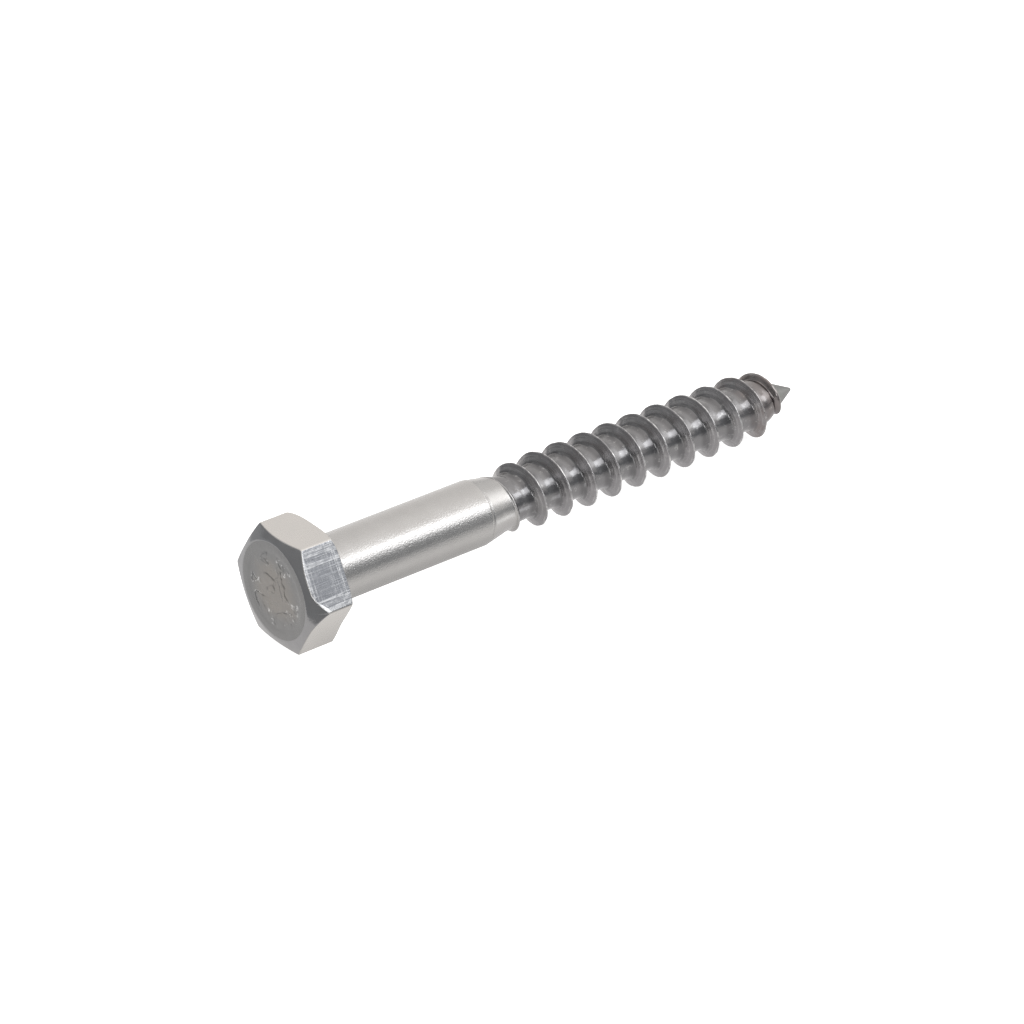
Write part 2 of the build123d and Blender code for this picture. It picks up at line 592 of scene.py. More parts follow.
@dataclass(frozen=True)
class StruckSteel:
    """Face of the head: darker, uneven from the blow that formed it, with painted glints on a few
    dents.

    The spans are distances from the axis.
    """
    tone: Colour = (0.385, 0.360, 0.332)    # of the warm middle
    shade: Colour = (0.310, 0.308, 0.306)
    painted_glint: Colour = (0.98, 0.98, 0.97)     # painted glints on the dents' rims
    roughness: float = 0.29
    relief: float = 0.24
    warm: Span = (2.0, 4.4)
    painted_glint_from: Span = (2.2, 3.2)
    dented_to: Span = (3.9, 4.7)

    def make(self) -> bpy.types.Material:
        """Makes the material.

        Returns:
            The material.
        """
        s = SteelSheet("struck_face")
        _, y, z = s.parts(s.place)
        radius = s.length(y, z)
        mottle = s.noise(s.place, 0.35, 4, 0.6)
        pores = s.noise(s.place, 1.6, 4, 0.65)
        blows = s.noise(s.place, 0.42, 2, 0.45, skew=0.5)
        inside = 1.0 - s.ease(radius, *self.dented_to)
        dents = s.ease(blows, 0.52, 0.63)
        # painted glints on the rims of a few dents
        rim_glints = s.ease(blows, 0.50, 0.53) * (1.0 - s.ease(blows, 0.54, 0.57))
        rim_glints = rim_glints * s.ease(pores, 0.53, 0.60) * s.ease(radius, *self.painted_glint_from)
        warm = 1.0 - s.ease(radius + 3.0 * (mottle - 0.5), *self.warm)
        colour = s.blend(warm * (0.55 + 0.9 * (pores - 0.25)), self.shade, self.tone)
        colour = s.blend(rim_glints * inside * 0.8, colour, self.painted_glint)
        roughness = s.sway(self.roughness, (0.16, mottle), (0.10, pores))
        relief = dents * inside * 0.5 + mottle * 0.6 + pores * 0.14
        return s.finish(colour, roughness, relief, self.relief)


@dataclass(frozen=True)
class TurnedSteel:
    """Chamfer round the face: smooth, and darker than the sides as painted shade."""
    # painted shade: the chamfer's tones are set darker than the sides'
    tone: Colour = (0.455, 0.450, 0.454)
    shade: Colour = (0.355, 0.352, 0.356)
    roughness: float = 0.15
    relief: float = 0.06

    def make(self) -> bpy.types.Material:
        """Makes the material.

        Returns:
            The material.
        """
        s = SteelSheet("turned_chamfer")
        mottle = s.noise(s.place, 0.5, 3, 0.6)
        pores = s.noise(s.place, 2.2, 4, 0.65)
        colour = s.blend(mottle, self.shade, self.tone)
        roughness = s.sway(self.roughness, (0.12, mottle), (0.08, pores))
        return s.finish(colour, roughness, mottle * 0.8 + pores * 0.12, self.relief)


class Surface(Enum):
    """Surfaces of one piece, each with its finish."""

    @classmethod
    def put_on(cls, piece: bpy.types.Object) -> None:
        """Gives a piece the materials of all its surfaces, in their order."""
        for surface in cls:
            piece.data.materials.append(surface.value.make())

    @property
    def place(self) -> int:
        """The place of the surface's material on its piece."""
        return list(type(self)).index(self)


class HeadSurface(Surface):
    """Surfaces of the head."""
    SIDE = PressedSteel()
    FACE = StruckSteel()
    CHAMFER = TurnedSteel()


class ShaftSurface(Surface):
    """Surfaces of the shaft."""
    BLANK = DrawnSteel()
    THREAD = RolledSteel()


# ---------------------------------------------------------------------------------------------
# The screw
# ---------------------------------------------------------------------------------------------

@dataclass(frozen=True)
class BluntEnd:
    """What the ridge's blunt last turn has over the turns before it."""
    begins: Rise = Rise(-6.2, 2.0)      # from the point
    fall: float = 0.12                  # of the crest
    width: float = 0.22                 # of half the crest
    bow: float = 0.14
    fillet: float = 0.15


@dataclass
class Shaft:
    """Shank, neck, threaded core and gimlet point, as one closed skin.

    The threaded part is a tube of helical strips, wound from one pitch of the thread, so that the
    mesh's lines follow the crest.  The shank and the tip grow out of the tube's trimmed ends.
    """
    length: float = 69.3
    inside_head: float = 2.0
    shank_radius: float = 3.85
    shank_length: float = 21.85
    under_head_radius: float = 0.4
    neck_slope: float = 0.187           # fall of the neck's radius over its length
    core_radius: float = 2.8
    thread_radius: float = 4.1
    pitch: float = 3.6
    crest_width: float = 0.17
    crest_bow: float = 0.03             # by which the crest is lower at its two edges
    crest_fillet: float = 0.05
    flank_reach: float = 0.44           # of a flank along the axis over its height
    root_fillet: float = 1.15           # where the ridge is highest
    least_fillet: float = 0.1           # share of it where the ridge is lowest
    root_hollow: float = 0.11           # by which the root rises to either side of its middle
    hollow_reach: float = 0.9           # from that middle to where it has risen so far
    hollow_depth: float = 0.4           # of the middle below the core, as a share of the hollow
    hollow_ends: Rise = Rise(-8.4, 2.4)     # from the point
    thread_start: float = 24.2
    start_angle: float = -56.5
    start_radius: float = 3.42
    start_turns: float = 1.7
    groove_turns: float = 0.2           # over which the first groove sinks into the neck
    groove_reach: float = 0.5           # from the first crest to the groove's full depth
    half_point: float = math.radians(26)
    cone_fillet: float = 0.5            # between the core and the cone
    least_cone: float = 0.05            # to which the cone's height is held past its apex
    tip_radius: float = 0.25
    runout_length: float = 4.2
    runout_gap: float = 3.4
    runout_radius: float = 1.75
    sinks_before: float = 1.8           # length over which the ridge sinks out of sight
    sinks_after: float = 0.5
    sunk: float = 2.0                   # depth to which it then sinks
    taper: float = 0.15                 # by which the crest is lower in its last turns
    taper_begins: Rise = Rise(-21, 12)  # from the point
    drift: float = 0.38                 # by which those turns stand nearer the point
    drift_begins: Rise = Rise(-23.3, 15)    # from the point
    drift_ends: Rise = Rise(-7.3, 4.5)      # from the point
    nick: float = 0.07                  # deepest wear of the crest
    nick_above: float = 0.15            # grain above which the crest is worn
    nick_scale: float = 1.3
    wander: float = 0.05                # of the ridge along the axis
    wander_scale: float = 0.9
    root_shade_begins: Rise = Rise(0.25, 0.4)  # behind the ridge's middle, where the painted shade in the root begins
    root_shade_ends: Rise = Rise(1.1, 0.6)     # behind the ridge's middle, where that painted shade ends
    mark_depth: float = 0.08            # of the die's mark where the shank ends
    mark_width: float = 0.10
    mark_offset: float = 0.20           # of its middle, past the shank's end
    mark_begins: Rise = Rise(22, 22)    # in degrees from the top
    mark_ends: Rise = Rise(110, 30)     # in degrees from the top
    blunt: BluntEnd = BluntEnd()
    sides: int = 96
    tube_radius: float = 4.0            # before the thread is pressed
    tube_weld: float = 1e-3
    trim_at: float = 22.4
    trim_weld: float = 0.01
    trim_margin: float = 0.5            # from the trim to where the thread's notes begin
    fillet_steps: int = 6
    tip_steps: int = 6
    sharp_above: float = math.radians(50)   # angle between faces that stays a crisp edge
    thread_edge: float = -0.06          # past the first crest's middle, where its finish begins

    @property
    def ball_centre(self) -> float:
        """Middle of the point's ball, along the axis."""
        return self.length - self.tip_radius

    @property
    def ball_edge(self) -> float:
        """Where the cone runs into the point's ball, along the axis."""
        return self.ball_centre + self.tip_radius * math.sin(self.half_point)

    @property
    def ridge_end(self) -> float:
        """Where the ridge runs out on the cone, along the axis."""
        return self.length - self.runout_gap

    @staticmethod
    def degrees_from_top(places: np.ndarray) -> np.ndarray:
        """Turn of each place about the axis from the top, in degrees."""
        return np.degrees(np.arctan2(-places[:, 1], places[:, 2]))

    def turns_past_start(self, places: np.ndarray) -> np.ndarray:
        """Share of a turn about the axis by which each place lies past the ridge's start."""
        return ((self.degrees_from_top(places) - self.start_angle) / 360) % 1

    def body_radius(self, places: np.ndarray) -> np.ndarray:
        """Radius of neck, core and cone, without the ridge.

        Args:
            places: points, of which the place along X and the turn about it count.

        Returns:
            The radius at each place.
        """
        x = places[:, 0]
        turns = self.turns_past_start(places)
        past_crest = x - self.thread_start - self.pitch * turns
        neck = self.shank_radius - self.neck_slope * (x - self.shank_length)
        neck = np.maximum(neck, self.core_radius)
        grooved = smooth(turns / self.groove_turns) * smooth(past_crest / self.groove_reach)
        body = neck + grooved * (self.core_radius - neck)
        apex = self.ball_centre + self.tip_radius / math.sin(self.half_point)
        cone = np.maximum(apex - x, self.least_cone) * math.tan(self.half_point)
        return -soft_max(-body, -cone, self.cone_fillet)

    def crest_radius(self, x: np.ndarray) -> np.ndarray:
        """Radius of the thread's crest, from its rise out of the neck to its run-out.

        Args:
            x: places along the axis.

        Returns:
            The radius at each place.
        """
        risen = smooth((x - self.thread_start) / (self.start_turns * self.pitch))
        grown = self.start_radius + risen * (self.thread_radius - self.start_radius)
        left = np.clip((self.ridge_end - x) / self.runout_length, 0, 1)
        left = np.sqrt(left * (2 - left))
        fallen = self.runout_radius + left * (self.thread_radius - self.runout_radius)
        before = smooth((self.thread_start - x) / self.sinks_before)
        after = smooth((x - self.ridge_end) / self.sinks_after)
        worn = self.taper * self.taper_begins.at(x - self.length)
        return np.minimum(grown, fallen) - worn - self.sunk * (before + after)

    def across_ridge(self, places: np.ndarray) -> np.ndarray:
        """How far each place lies from the middle of the nearest ridge, along X."""
        phase = (places[:, 0] - self.thread_start) / self.pitch - self.turns_past_start(places)
        return ((phase + 0.5) % 1 - 0.5) * self.pitch

    def skin_radius(self, places: np.ndarray) -> np.ndarray:
        """Radius of the threaded skin.

        Args:
            places: points, of which the place along X and the turn about it count.

        Returns:
            The radius at each place.
        """
        across = self.across_ridge(places)
        middle = places[:, 0] - across
        aside = np.abs(across + self.wander * grain(places, self.wander_scale))
        blunt = self.blunt.begins.at(middle - self.length)
        nicked = np.maximum(grain(places, self.nick_scale) - self.nick_above, 0)
        crest = self.crest_radius(middle) - self.nick * nicked - self.blunt.fall * blunt
        half = self.crest_width / 2 + self.blunt.width * blunt
        top = crest - (self.crest_bow + self.blunt.bow * blunt) * (aside / half) ** 2
        side = crest - (aside - half) / self.flank_reach
        ridge = -soft_max(-top, -side, self.crest_fillet + self.blunt.fillet * blunt)
        body = self.body_radius(places)
        hollow = self.root_hollow * smooth((middle - self.thread_start) / self.pitch)
        hollow = hollow * (1 - self.hollow_ends.at(places[:, 0] - self.length))
        from_root = (self.pitch / 2 - np.abs(across)) / self.hollow_reach
        body = body + hollow * (from_root ** 2 - self.hollow_depth)
        height = (crest - body) / (self.thread_radius - self.core_radius)
        fillet = self.root_fillet * np.clip(height, self.least_fillet, 1)
        return soft_max(body, ridge, fillet)

    def wind_tube(self) -> bpy.types.Object:
        """Winds one pitch of profile into a helical tube that covers neck, thread and point.

        Returns:
            The open tube.
        """
        steps = [0, 0.05, 0.09, 0.13, 0.18, 0.26, *np.linspace(0.35, 1.15, 10), 1.3, 1.45, 1.62,
                 self.pitch / 2]
        offsets = [-step for step in reversed(steps)] + steps[1:]
        start = self.thread_start - self.pitch * self.start_angle / 360 - 2 * self.pitch
        points = [(start + offset, 0, self.tube_radius) for offset in offsets]
        tube = Bench.draw_line("screw_shaft", points)
        turns = math.ceil((self.length - start) / self.pitch + 1)
        Bench.apply(tube, "SCREW", axis="X", angle=FULL_TURN, screw_offset=self.pitch,
                    iterations=turns, steps=self.sides, render_steps=self.sides,
                    use_normal_calculate=True)
        Bench.close_up(tube, self.tube_weld)
        return tube

    def press_thread(self, tube: bpy.types.Object) -> None:
        """Moves each vertex of the tube in or out to the thread's radius there.

        Args:
            tube: as it was wound.
        """
        places = points_of(tube)
        scale = self.skin_radius(places) / np.hypot(places[:, 1], places[:, 2])
        places[:, 1:] *= scale[:, None]
        move_points(tube, places)

    def trim(self, x: float, facing: float) -> None:
        """Cuts the tube square and drops what lies beyond.

        Args:
            x: place of the cut along the axis.
            facing: side that is dropped, -1 towards the head or 1 towards the point.
        """
        bpy.ops.mesh.select_all(action="SELECT")
        bpy.ops.mesh.bisect(plane_co=(x, 0, 0), plane_no=(facing, 0, 0), clear_outer=True)
        bpy.ops.mesh.remove_doubles(threshold=self.trim_weld)

    @staticmethod
    def pick_ring(shaft: bpy.types.Object, x: float, within: float = 1e-3) -> None:
        """Selects the open ring of edges that lies at x."""
        Bench.leave()
        Bench.pick_edges(shaft, lambda a, b: max(abs(a.x - x), abs(b.x - x)) < within)

    def radius_at(self, x: float) -> float:
        """Radius of the body at x, on the side where the ridge starts."""
        turn = math.radians(self.start_angle)
        return float(self.body_radius(np.array([[x, -math.sin(turn), math.cos(turn)]]))[0])

    def grow_rings(self, start: float, rings: Sequence[Span]) -> None:
        """Grows rings one from the other, the first out of the ring that is selected.

        Args:
            start: place of the selected ring along X.
            rings: place along X and radius of each new ring.
        """
        place, radius = start, self.radius_at(start)
        for next_place, next_radius in rings:
            Bench.grow_ring(next_place - place, next_place, next_radius / radius)
            place, radius = next_place, next_radius

    def grow_shank(self) -> None:
        """Grows neck, shank and the round under the head out of the ring at the trim."""
        on_neck, on_shank = (0.46, 0.38, 0.31, 0.25, 0.19, 0.13, 0.06), (0, 0.08, 0.2)
        rings = [(self.shank_length + step, self.shank_radius - self.neck_slope * step)
                 for step in on_neck]
        rings += [(self.shank_length - step, self.shank_radius) for step in on_shank]
        rings.append((self.shank_length / 2, self.shank_radius))
        fillet = self.under_head_radius
        for step in range(self.fillet_steps + 1):
            angle = math.pi / 2 / self.fillet_steps * step
            rings.append((fillet * (1 - math.sin(angle)),
                          self.shank_radius + fillet * (1 - math.cos(angle))))
        rings.append((-self.inside_head, self.shank_radius + fillet))
        self.grow_rings(self.trim_at, rings)
        bpy.ops.mesh.edge_face_add()

    def grow_tip(self) -> None:
        """Closes the point with rings round its ball."""
        swings = [self.half_point + (math.pi / 2 - self.half_point) * step / self.tip_steps
                  for step in range(1, self.tip_steps)]
        rings = [(self.ball_centre + self.tip_radius * math.sin(swing),
                  self.tip_radius * math.cos(swing)) for swing in swings]
        self.grow_rings(self.ball_edge, rings)
        left = self.length - rings[-1][0]
        bpy.ops.mesh.extrude_region_move(TRANSFORM_OT_translate={"value": (left, 0, 0)})
        bpy.ops.mesh.merge(type="CENTER")

    def press_mark(self, shaft: bpy.types.Object) -> None:
        """Presses the die's mark into the break between shank and neck, on the side of one die.

        Args:
            shaft: closed at both ends.
        """
        places = points_of(shaft)
        turned = self.degrees_from_top(places)
        share = self.mark_begins.at(turned) * (1 - self.mark_ends.at(turned))
        past = (places[:, 0] - self.shank_length - self.mark_offset) / self.mark_width
        dent = self.mark_depth * share * np.exp(-past ** 2)
        radius = np.maximum(np.hypot(places[:, 1], places[:, 2]), 1)
        places[:, 1:] *= (1 - dent / radius)[:, None]
        move_points(shaft, places)

    def take_notes(self, shaft: bpy.types.Object) -> None:
        """Notes for the finish where each vertex lies on the thread.

        The notes are the height on the ridge as a share, the distance across from its middle, the
        distance past the first crest, and how far it lies in the painted shade close behind the
        ridge.

        Args:
            shaft: with the thread in its place.
        """
        places = points_of(shaft)
        threaded = places[:, 0] > self.trim_at + self.trim_margin
        height = np.hypot(places[:, 1], places[:, 2]) - self.core_radius
        height = np.clip(height / (self.thread_radius - self.core_radius), 0, 1) * threaded
        across = np.where(threaded, self.across_ridge(places), self.pitch / 2)
        past = places[:, 0] - self.thread_start - self.pitch * self.turns_past_start(places)
        # share of the painted shade in the root close behind the ridge
        root_shade = self.root_shade_begins.at(-across) * (1 - self.root_shade_ends.at(-across)) * threaded
        note_down(shaft, "ridge", height)
        note_down(shaft, "across", across)
        note_down(shaft, "past_crest", past)
        note_down(shaft, "root_shade", root_shade)

    def draw_out(self, shaft: bpy.types.Object) -> None:
        """Shifts the last turns towards the point, which stays.

        Args:
            shaft: with its notes taken.
        """
        places = points_of(shaft)
        from_end = places[:, 0] - self.length
        share = self.drift_begins.at(from_end)
        places[:, 0] += self.drift * share * (1 - self.drift_ends.at(from_end))
        move_points(shaft, places)

    def build(self) -> bpy.types.Object:
        """Builds the shaft in the screw's own frame.

        Returns:
            The finished mesh object, in millimetres.
        """
        shaft = self.wind_tube()
        self.press_thread(shaft)
        Bench.take(shaft)
        Bench.edit()
        self.trim(self.trim_at, -1)
        self.pick_ring(shaft, self.trim_at)
        self.grow_shank()
        self.trim(self.ball_edge, 1)
        self.pick_ring(shaft, self.ball_edge)
        self.grow_tip()
        bpy.ops.mesh.select_all(action="SELECT")
        bpy.ops.mesh.normals_make_consistent(inside=False)
        Bench.leave()
        self.press_mark(shaft)
        self.take_notes(shaft)
        self.draw_out(shaft)
        bpy.ops.object.shade_smooth_by_angle(angle=self.sharp_above)
        return shaft

    def dress(self, shaft: bpy.types.Object) -> None:
        """Gives shank and neck one finish and the thread another, from the first crest on.

        Args:
            shaft: the finished mesh object.
        """
        ShaftSurface.put_on(shaft)
        past = np.empty(len(shaft.data.vertices))
        shaft.data.attributes["past_crest"].data.foreach_get("value", past)
        for face in shaft.data.polygons:
            if min(past[index] for index in face.vertices) > self.thread_edge:
                face.material_index = ShaftSurface.THREAD.place


@dataclass
class Head:
    """Hexagon head with one flat up, a chamfered face and softened edges.

    Its skin is spun from a row of points, ring by ring, and each ring is then pressed to its place
    on the hexagon, spoke by spoke, so that the mesh's lines follow every edge.
    """
    across_flats: float = 13.0
    height: float = 5.3
    face_radius: float = 5.8
    chamfer_slope: float = math.tan(math.radians(30))
    gentle_side: float = math.radians(-150)     # where the chamfer is less steep
    gentle_by: float = 0.5                      # share of its slope that it lacks there
    gentle_from: Rise = Rise(-0.1, 0.6)         # over the cosine of the turn from that side
    knocked_corner: float = math.radians(90)
    knock: float = 0.95                         # by which the chamfer is deeper at that corner
    knock_reach: float = math.radians(22)
    corner_round: float = 0.2           # set back from each long corner by its rounding
    under_radius: float = 1.3           # of the round that eases the corners at the bearing face
    under_start: float = 6.60           # radius where that round leaves the bearing face
    uneven: float = 0.35                # by which it starts further in on the worst side
    worst_side: float = math.radians(-45)
    worn_flat: float = math.radians(120)    # on whose side the bearing edge is worn away
    worn_by: float = 1.1
    edge_break: float = 0.09
    lip: float = 0.22                   # half width of the soft turn from the face to the chamfer
    dish_radius: float = 4.7
    dish_depth: float = 0.09
    dish_lip: float = 0.3               # half width of the soft turn round the dish
    dish_rings: tuple[float, ...] = (0, 1.2, 2.4, 3.4, 4.1)
    face_ring: float = 5.3
    chamfer_shares: tuple[float, ...] = (0.2, 0.4, 0.6, 0.8)
    side_shares: tuple[float, ...] = (0.03, 0.35, 0.65, 0.97)
    under_shares: tuple[float, ...] = (0.9, 0.6, 0.3, 0)
    bearing_rings: tuple[float, ...] = (6.1, 5.2, 4.4, 2.0, 0)
    bearing_gap: float = 0.1            # by which those rings keep inside the round
    border_width: float = 0.03          # from the chamfer's edge to what is surely on it
    lip_share: float = 0.3              # of the lip's inner half, which is finished as the chamfer

    @property
    def half_flat(self) -> float:
        """Half the width of a flat."""
        return self.across_flats / 2 * math.tan(HALF_SIDE)

    def spokes(self) -> tuple[np.ndarray, np.ndarray]:
        """Sets out the spokes about the axis, closest at the corners.

        Returns:
            Their angles about the axis and the hexagon's radius on each.
        """
        steps = [0, 0.03, 0.07, 0.12, 0.18, 0.26, 0.4, 0.65, 1.0, 1.45, 1.95, 2.5, 3.1]
        aside = [step - self.half_flat for step in steps]
        aside = np.array(aside + [0] + [-place for place in reversed(aside[1:])])
        flat = self.across_flats / 2
        bend = self.corner_round / math.tan(HALF_SIDE)
        middle = (flat - bend) / math.cos(HALF_SIDE)
        from_corner = HALF_SIDE - np.arctan(np.abs(aside) / flat)
        rounded = middle * np.cos(from_corner) + np.sqrt(
            np.maximum(bend ** 2 - (middle * np.sin(from_corner)) ** 2, 0))
        at_corner = self.half_flat - np.abs(aside) < self.corner_round
        reach = np.where(at_corner, rounded, np.hypot(flat, aside))
        angles = np.arctan(aside / flat)
        return np.concatenate([angles + SIDE_TURN * side for side in range(6)]), np.tile(reach, 6)

    def slope(self, angles: np.ndarray) -> np.ndarray:
        """Slope of the chamfer on each spoke."""
        gentle = self.gentle_from.at(np.cos(angles - self.gentle_side))
        return self.chamfer_slope * (1 - self.gentle_by * gentle)

    def chamfer(self, angles: np.ndarray, reach: np.ndarray,
                share: float | np.ndarray) -> np.ndarray:
        """Finds the chamfer between the face's edge and the hexagon.

        Args:
            angles: of the spokes about the axis.
            reach: the hexagon's radius on each spoke.
            share: of the way from the face's edge to the hexagon.

        Returns:
            The chamfer's place along X on each spoke.
        """
        inner = self.face_radius + self.lip
        near = np.clip(1 - np.abs(angles - self.knocked_corner) / self.knock_reach, 0, 1)
        fallen = self.slope(angles) * (self.lip + share * (reach - inner))
        return -self.height + fallen + self.knock * (near * share) ** 2

    def face_rings(self, angles: np.ndarray) -> list[Ring]:
        """Sets out the rings of the dished face, as far as the chamfer.

        Args:
            angles: of the spokes about the axis.

        Returns:
            For each ring, the place along X and the radius of every spoke's point.
        """
        face, slope, lip = -self.height, self.slope(angles), self.lip
        rings = [(face + self.dish_depth, radius) for radius in self.dish_rings]
        rings += [(face + self.dish_depth * (1 - smooth(t)),
                   self.dish_radius - self.dish_lip + 2 * self.dish_lip * t) for t in QUARTERS]
        rings.append((face, self.face_ring))
        rings += [(face + slope * lip * t * t, self.face_radius + lip * (2 * t - 1))
                  for t in QUARTERS]
        return rings

    def chamfer_rings(self, angles: np.ndarray, reach: np.ndarray) -> list[Ring]:
        """Sets out the rings of the chamfer and of its edge.

        Args:
            angles: of the spokes about the axis.
            reach: the hexagon's radius on each spoke.

        Returns:
            For each ring, the place along X and the radius of every spoke's point.
        """
        inner = self.face_radius + self.lip
        last = 1 - self.edge_break / (reach - inner)
        rings = [(self.chamfer(angles, reach, share * last), inner + share * last * (reach - inner))
                 for share in self.chamfer_shares]
        edge = self.chamfer(angles, reach, 1)
        begin = (self.chamfer(angles, reach, last), reach - self.edge_break)
        return rings + self.turn_edge(begin, (edge, reach), (edge + self.edge_break, reach))

    def side_rings(self, angles: np.ndarray, reach: np.ndarray) -> list[Ring]:
        """Sets out the rings of the sides and of the bearing face, with the round between them.

        Args:
            angles: of the spokes about the axis.
            reach: the hexagon's radius on each spoke.

        Returns:
            For each ring, the place along X and the radius of every spoke's point.
        """
        soft, edge = self.edge_break, self.chamfer(angles, reach, 1)
        aside = np.abs(angles - self.worn_flat)
        worn = self.worn_by * np.where(aside < HALF_SIDE, np.cos(3 * aside), 0)
        uneven = self.uneven * np.maximum(np.cos(angles - self.worst_side), 0)
        begin = np.minimum(self.under_start - uneven - worn, reach - soft)
        swing = np.arcsin(np.clip((reach - begin) / self.under_radius, 0, 1))
        under = -self.under_radius * (1 - np.cos(swing))
        rings = [(edge + soft + share * (under - edge - 2 * soft), reach)
                 for share in self.side_shares]
        inside = np.maximum(swing - soft / self.under_radius, 0)
        rings += self.turn_edge((under - soft, reach), (under, reach),
                                self.on_round(begin, inside))
        rings += [self.on_round(begin, inside * share) for share in self.under_shares]
        rings += [(0, np.minimum(begin - self.bearing_gap, radius))
                  for radius in self.bearing_rings]
        return rings

    def on_round(self, begin: np.ndarray, swing: np.ndarray) -> Ring:
        """Point on the round beside the bearing face, by its swing from that face."""
        return -self.under_radius * (1 - np.cos(swing)), begin + self.under_radius * np.sin(swing)

    @staticmethod
    def turn_edge(start: Ring, corner: Ring, end: Ring) -> list[Ring]:
        """Five rings on a soft turn round an edge."""
        return [tuple((1 - t) ** 2 * a + 2 * t * (1 - t) * b + t * t * c
                      for a, b, c in zip(start, corner, end)) for t in QUARTERS]

    def build(self) -> bpy.types.Object:
        """Builds the head in the screw's own frame.

        Returns:
            The finished mesh object, in millimetres.
        """
        angles, reach = self.spokes()
        rings = (self.face_rings(angles) + self.chamfer_rings(angles, reach)
                 + self.side_rings(angles, reach))
        row = [(float(index), 0, 1) for index in range(len(rings))]
        head = Bench.draw_line("screw_head", row)
        Bench.edit()
        bpy.ops.mesh.spin(steps=len(angles), angle=FULL_TURN, center=(0, 0, 0), axis=(1, 0, 0))
        Bench.leave()
        places = points_of(head)
        ring = np.rint(places[:, 0]).astype(int)
        turned = np.arctan2(-places[:, 1], places[:, 2]) * len(angles) / FULL_TURN
        spoke = np.rint(turned).astype(int) % len(angles)
        along, radius = (np.array([np.broadcast_to(part, reach.shape) for part in parts])
                         [ring, spoke] for parts in zip(*rings))
        places = np.stack((along, -radius * np.sin(angles[spoke]),
                           radius * np.cos(angles[spoke])), axis=1)
        move_points(head, places)
        note_down(head, "border", places[:, 0] - self.chamfer(angles, reach, 1)[spoke])
        Bench.close_up(head)
        bpy.ops.object.shade_smooth()
        return head

    def dress(self, head: bpy.types.Object) -> None:
        """Gives face, chamfer and sides their own finish.

        Args:
            head: the finished mesh object.
        """
        HeadSurface.put_on(head)
        face_edge = self.face_radius - self.lip_share * self.lip
        border = head.data.attributes["border"].data
        for face in head.data.polygons:
            if min(border[index].value for index in face.vertices) < -self.border_width:
                on_face = math.hypot(face.center.y, face.center.z) < face_edge
                surface = HeadSurface.FACE if on_face else HeadSurface.CHAMFER
                face.material_index = surface.place


# ---------------------------------------------------------------------------------------------
# The studio
# ---------------------------------------------------------------------------------------------

